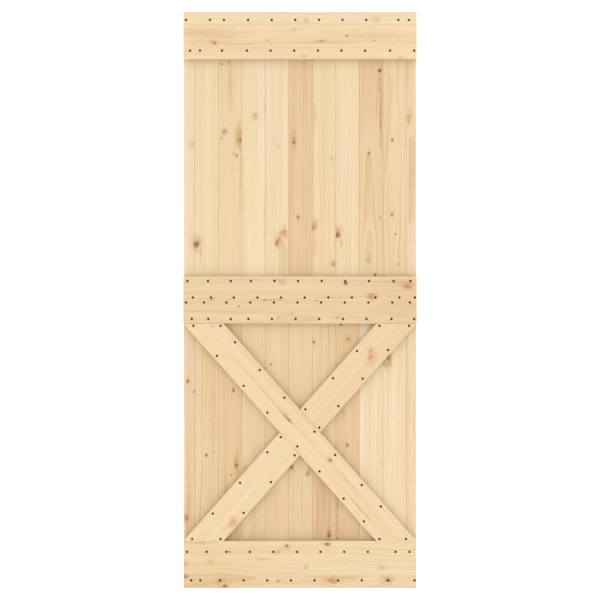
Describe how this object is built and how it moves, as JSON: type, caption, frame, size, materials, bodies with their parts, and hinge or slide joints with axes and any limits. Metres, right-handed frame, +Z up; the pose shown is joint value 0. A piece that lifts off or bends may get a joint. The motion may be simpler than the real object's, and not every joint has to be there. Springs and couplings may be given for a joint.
{
  "type": "barn door",
  "caption": "Unfinished pine barn door leaf: upright tongue and groove planks screwed to flat cross rails, with an X of braces in the lower bay.",
  "frame": {"origin": "at the foot of the door, in the middle of its width and of its thickness", "axes": "+Z up along the planks, +X across the door, -Y out of the front with the rails and braces"},
  "size_m": [0.85, 0.038, 2.1],
  "materials": {
    "pine_plank": "planed, bare, with knots",
    "pine_rail": "planed, bare, with eased edges",
    "pine_brace": "planed, bare, with eased edges",
    "dark_screw": "dark brown phosphate"
  },
  "bodies": {
    "root": {"upper_plank_1": "pine_plank", "upper_plank_2": "pine_plank", "upper_plank_3": "pine_plank", "upper_plank_4": "pine_plank", "upper_plank_5": "pine_plank", "upper_plank_6": "pine_plank", "upper_plank_7": "pine_plank", "upper_plank_8": "pine_plank", "upper_plank_9": "pine_plank", "upper_plank_10": "pine_plank", "upper_plank_11": "pine_plank", "lower_plank_1": "pine_plank", "lower_plank_2": "pine_plank", "lower_plank_3": "pine_plank", "lower_plank_4": "pine_plank", "lower_plank_5": "pine_plank", "lower_plank_6": "pine_plank", "lower_plank_7": "pine_plank", "lower_plank_8": "pine_plank", "lower_plank_9": "pine_plank", "lower_plank_10": "pine_plank", "lower_plank_11": "pine_plank", "top_rail": "pine_rail", "middle_rail": "pine_rail", "bottom_rail": "pine_rail", "long_brace": "pine_brace", "lower_left_brace": "pine_brace", "upper_right_brace": "pine_brace", "top_rail_screws": "dark_screw", "middle_rail_screws": "dark_screw", "bottom_rail_screws": "dark_screw", "long_brace_screws": "dark_screw", "lower_left_brace_screws": "dark_screw", "upper_right_brace_screws": "dark_screw"}
  },
  "joints": []
}
